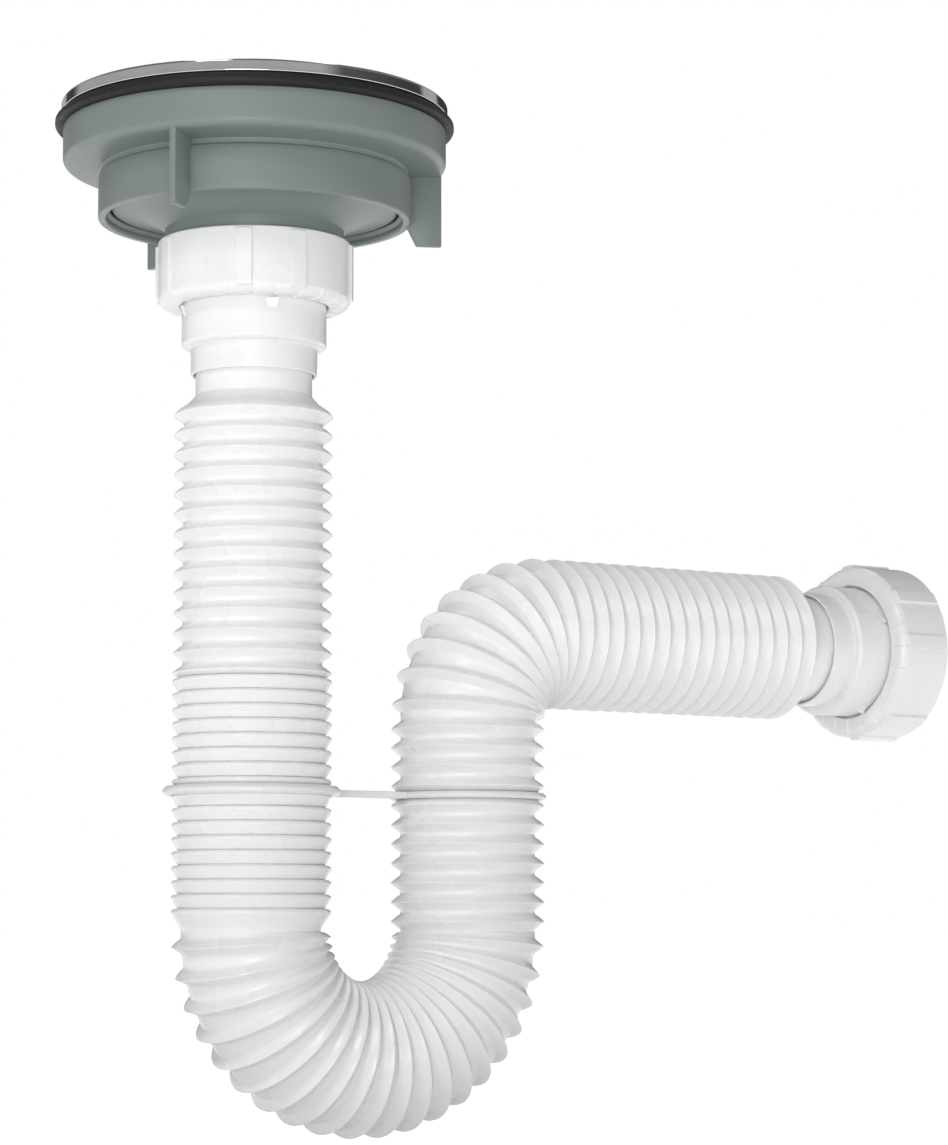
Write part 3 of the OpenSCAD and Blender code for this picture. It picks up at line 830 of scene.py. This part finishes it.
def basket_cup():
    """A pressed cup, whose holes are cut by a boolean that is applied to its mesh."""
    outline = [(3.3, -18.95), (31.2, -18.95), (32.2, -18.4), (35.1, -1.4), (36.0, -0.2), (37.75, 0.1),
               (37.75, 0.9), (37.2, 1.15), (35.8, 0.7), (34.5, -0.8), (31.6, -17.6), (31.0, -18.2),
               (3.3, -18.2)]
    mesh = lathe("cup", [(r, z, 0.5) for r, z in outline], 3, 3.0, 96)
    piece = finish_mesh("basket_cup_look", mesh, PRESSED, "basket", "basket_cup")
    holes = bpy.data.objects.new("cup_holes", hole_cutters())
    bpy.context.scene.collection.objects.link(holes)
    boolean = piece.modifiers.new("holes", "BOOLEAN")
    boolean.operation = "DIFFERENCE"
    boolean.object = holes
    boolean.solver = "EXACT"
    bpy.context.view_layer.update()
    pierced = bpy.data.meshes.new_from_object(piece.evaluated_get(bpy.context.evaluated_depsgraph_get()))
    pierced.set_sharp_from_angle(angle=math.radians(30))
    piece.modifiers.clear()
    piece.data = pierced
    bpy.data.objects.remove(holes)


def basket_stopper():
    corners = [(3.2, -28.9, 0.3), (17.0, -28.9, 1.0), (20.6, -28.5, 1.0), (22.6, -28.05, 0.3),
               (22.6, -27.0, 0.5), (19.0, -25.4, 1.5), (7.0, -24.2, 1.0), (6.0, -23.0, 0.8),
               (6.0, -19.05, 0.3), (3.2, -19.05, 0.2)]
    mesh = lathe("basket_stopper_look", corners, 5, 2.5, 112)
    finish_mesh("basket_stopper_look", mesh, RUBBER, "basket", "basket_stopper")


def basket_knob():
    corners = [(0.02, -30.6, 0), (4.2, -30.6, 0.5), (5.0, -29.9, 0.4), (5.0, -29.0, 0.3), (3.1, -29.0, 0.2),
               (3.1, -18.1, 0.2), (5.5, -18.1, 0.3), (5.5, -16.6, 0.4), (2.6, -15.0, 0.8), (2.6, -6.0, 1.5),
               (6.0, -3.4, 1.2), (7.4, -1.6, 0.8), (7.45, 0.3, 0.9), (6.2, 1.65, 0.9), (3.0, 1.4, 1.2),
               (0.02, 1.3, 0)]
    mesh = lathe("basket_knob_look", corners, 5, 2.0, 80)
    finish_mesh("basket_knob_look", mesh, STEEL, "basket", "basket_knob")


basket_cup()
basket_stopper()
basket_knob()


# ---- Retaining clip ----

def clip_loop(centre_x, r_in, r_out, lip, half):
    """A ring that reaches half above and below the clip's plane, with a lip that tapers outwards."""
    bottom, top = CLIP_Z - half, CLIP_Z + half
    corners = [(r_in, bottom, 0.25), (r_in + lip, bottom, 0.2), (r_out, CLIP_Z - half * 0.45, 0.35),
               (r_out - 0.1, CLIP_Z + half * 0.3, 0.3), (r_in + lip, top, 0.25), (r_in, top, 0.25)]
    points = turned(rounded(corners, 4), 128)
    points[..., 0] += centre_x
    return grid_mesh("loop", points)


def retaining_clip():
    start, end = 25.2, LEG_X - 23.3
    bar_outline = [(start, -2.5), (end, -2.5), (end, 2.5), (start, 2.5)]
    bar = slab("bar", bar_outline, 2.0, 0.35, lambda u, v, w: (u, v, CLIP_Z + w))
    loops = [clip_loop(0, 23.7, 26.1, 1.3, 1.4), clip_loop(LEG_X, 21.6, 24.1, 1.6, 1.0)]
    mesh = joined("retaining_clip_look", [*loops, bar])
    finish_mesh("retaining_clip_look", mesh, WHITE, "trap", "retaining_clip")


retaining_clip()


# ---- Stage, camera and light, in metres ----

FLOOR_REACH = 40.0
FLOOR_GAP = 0.045
# Distance from the object's origin over which the floor's glow, a painted light, rises until the floor fades
# into the white backdrop; nearer in the floor stays darker, like a painted soft shadow
FADE_FROM, FADE_TO = 0.32, 0.60
HEADING = math.radians(33.75)
TILT = math.radians(4.555)
FORWARD = Vector((math.sin(HEADING), math.cos(HEADING), 0))
RIGHT = Vector((math.cos(HEADING), -math.sin(HEADING), 0))
MIDDLE = Vector((0.08, 0, -0.16))


def floor():
    """A pale floor just under the object, that glows as painted light ever whiter away from the object and
    stays darker near it, like a painted soft shadow.
    """
    z = CAD_BOX[0].z - FLOOR_GAP
    corners = [(-FLOOR_REACH, -FLOOR_REACH, z), (FLOOR_REACH, -FLOOR_REACH, z),
               (FLOOR_REACH, FLOOR_REACH, z), (-FLOOR_REACH, FLOOR_REACH, z)]
    mesh = bpy.data.meshes.new("floor")
    mesh.from_pydata(corners, [], [(0, 1, 2, 3)])
    obj = bpy.data.objects.new("floor", mesh)
    bpy.context.scene.collection.objects.link(obj)
    paint = Nodes("floor_paint")
    away = paint.new("ShaderNodeVectorMath", operation="LENGTH")
    paint.link(paint.place, away.inputs[0])
    grey = paint.mix(paint.noise(3, 2), (0.64, 0.64, 0.64), (0.67, 0.67, 0.67))
    # Painted light: the floor glows more and more away from the object, and is left darker near it like a
    # painted soft shadow.
    glow = paint.spread(away.outputs["Value"], FADE_FROM, FADE_TO, 0.07, 1.0)
    paint.set(Base_Color=grey, Roughness=0.85, Emission_Color=(1.0, 1.0, 1.0), Emission_Strength=glow)
    mesh.materials.append(paint.material)


def aim(obj, way):
    obj.rotation_mode = "QUATERNION"
    obj.rotation_quaternion = way.to_track_quat("-Z", "Y")


def camera():
    obj = bpy.data.objects.new("camera", bpy.data.cameras.new("camera"))
    bpy.context.scene.collection.objects.link(obj)
    obj.data.sensor_width = 36
    obj.data.lens = 103.5
    obj.data.shift_y = 0.08
    obj.data.clip_start = 0.02
    obj.location = (-0.48195, -0.8386, -0.2383)
    aim(obj, FORWARD * math.cos(TILT) + Vector((0, 0, math.sin(TILT))))
    bpy.context.scene.camera = obj


def area_light(name, place, target, size, power):
    light = bpy.data.lights.new(name, "AREA")
    light.shape = "RECTANGLE"
    light.size, light.size_y = size
    light.energy = power
    obj = bpy.data.objects.new(name, light)
    bpy.context.scene.collection.objects.link(obj)
    obj.location = place
    aim(obj, target - place)


def from_middle(ahead, across, up):
    """A place ahead, to the right and above the middle of the object, as the camera sees it."""
    return MIDDLE + FORWARD * ahead + RIGHT * across + Vector((0, 0, up))


floor()
camera()
area_light("key_light", from_middle(-1.2, -0.55, 1.0), MIDDLE, (0.45, 0.45), 5.5)
area_light("front_light", from_middle(-1.5, -0.1, -0.02), MIDDLE + Vector((0.02, 0, -0.08)), (0.6, 0.3), 4.9)
area_light("top_light", from_middle(0.55, -0.1, 1.3), MIDDLE, (0.8, 0.8), 3.5)


# ---- Sky ----

# Stops of the sky's ramps: brightness round the horizon, how far the screens show at each height,
# and brightness at each height. All three are placed by a share from 0 to 1.
SCREENS = [(0.0, 0.10), (0.035, 0.10), (0.05, 1), (0.085, 1), (0.095, 0.12), (0.135, 0.12), (0.16, 1),
           (0.62, 1), (0.655, 0.22), (0.80, 0.12), (0.83, 0.12), (0.84, 1), (0.885, 1), (0.90, 0.10)]
SCREEN_BAND = [(0.52, 0), (0.545, 1), (0.65, 1), (0.69, 0)]
PALE = [(0.30, 0.40), (0.50, 0.75), (0.62, 1.0), (0.86, 0.35)]
SKY_STRENGTH = 0.49


class Sky(Nodes):
    """The studio round the object: pale above, greyer below, with dark screens that show in metal."""

    def __init__(self, name):
        self.world = bpy.data.worlds.new(name)
        bpy.context.scene.world = self.world
        self.world.use_nodes = True
        self.tree = self.world.node_tree
        self.tree.nodes.clear()
        self.place = self.new("ShaderNodeTexCoord").outputs["Generated"]

    def dot(self, way):
        node = self.new("ShaderNodeVectorMath", operation="DOT_PRODUCT")
        self.link(self.place, node.inputs[0])
        node.inputs[1].default_value = way
        return node.outputs["Value"]

    def ramp(self, value, stops):
        node = self.new("ShaderNodeValToRGB")
        while len(node.color_ramp.elements) < len(stops):
            node.color_ramp.elements.new(0.5)
        for element, (at, grey) in zip(node.color_ramp.elements, stops):
            element.position = at
            element.color = (grey, grey, grey, 1)
        self.link(value, node.inputs["Fac"])
        return node.outputs["Color"]


def studio():
    """The sky lights the object and shows in its metal, and the camera sees plain white behind it."""
    w = Sky("studio")
    turn = w.spread(w.math("ARCTAN2", w.dot(RIGHT), w.dot(-FORWARD)), -math.pi, math.pi)
    height = w.spread(w.dot((0, 0, 1)), -1, 1)
    dimmed = w.new("ShaderNodeMix", data_type="RGBA", blend_type="MULTIPLY")
    w.link(w.ramp(height, SCREEN_BAND), dimmed.inputs["Factor"])
    w.link(w.ramp(height, PALE), dimmed.inputs[6])
    w.link(w.ramp(turn, SCREENS), dimmed.inputs[7])
    sky = w.new("ShaderNodeBackground")
    sky.inputs["Strength"].default_value = SKY_STRENGTH
    w.link(dimmed.outputs[2], sky.inputs["Color"])
    seen = w.new("ShaderNodeBackground")
    seen.inputs["Color"].default_value = (1, 1, 1, 1)
    mixer = w.new("ShaderNodeMixShader")
    w.link(w.new("ShaderNodeLightPath").outputs["Is Camera Ray"], mixer.inputs["Fac"])
    w.link(sky.outputs["Background"], mixer.inputs[1])
    w.link(seen.outputs["Background"], mixer.inputs[2])
    w.link(mixer.outputs["Shader"], w.new("ShaderNodeOutputWorld").inputs["Surface"])


studio()
bpy.context.scene.view_settings.view_transform = "Standard"
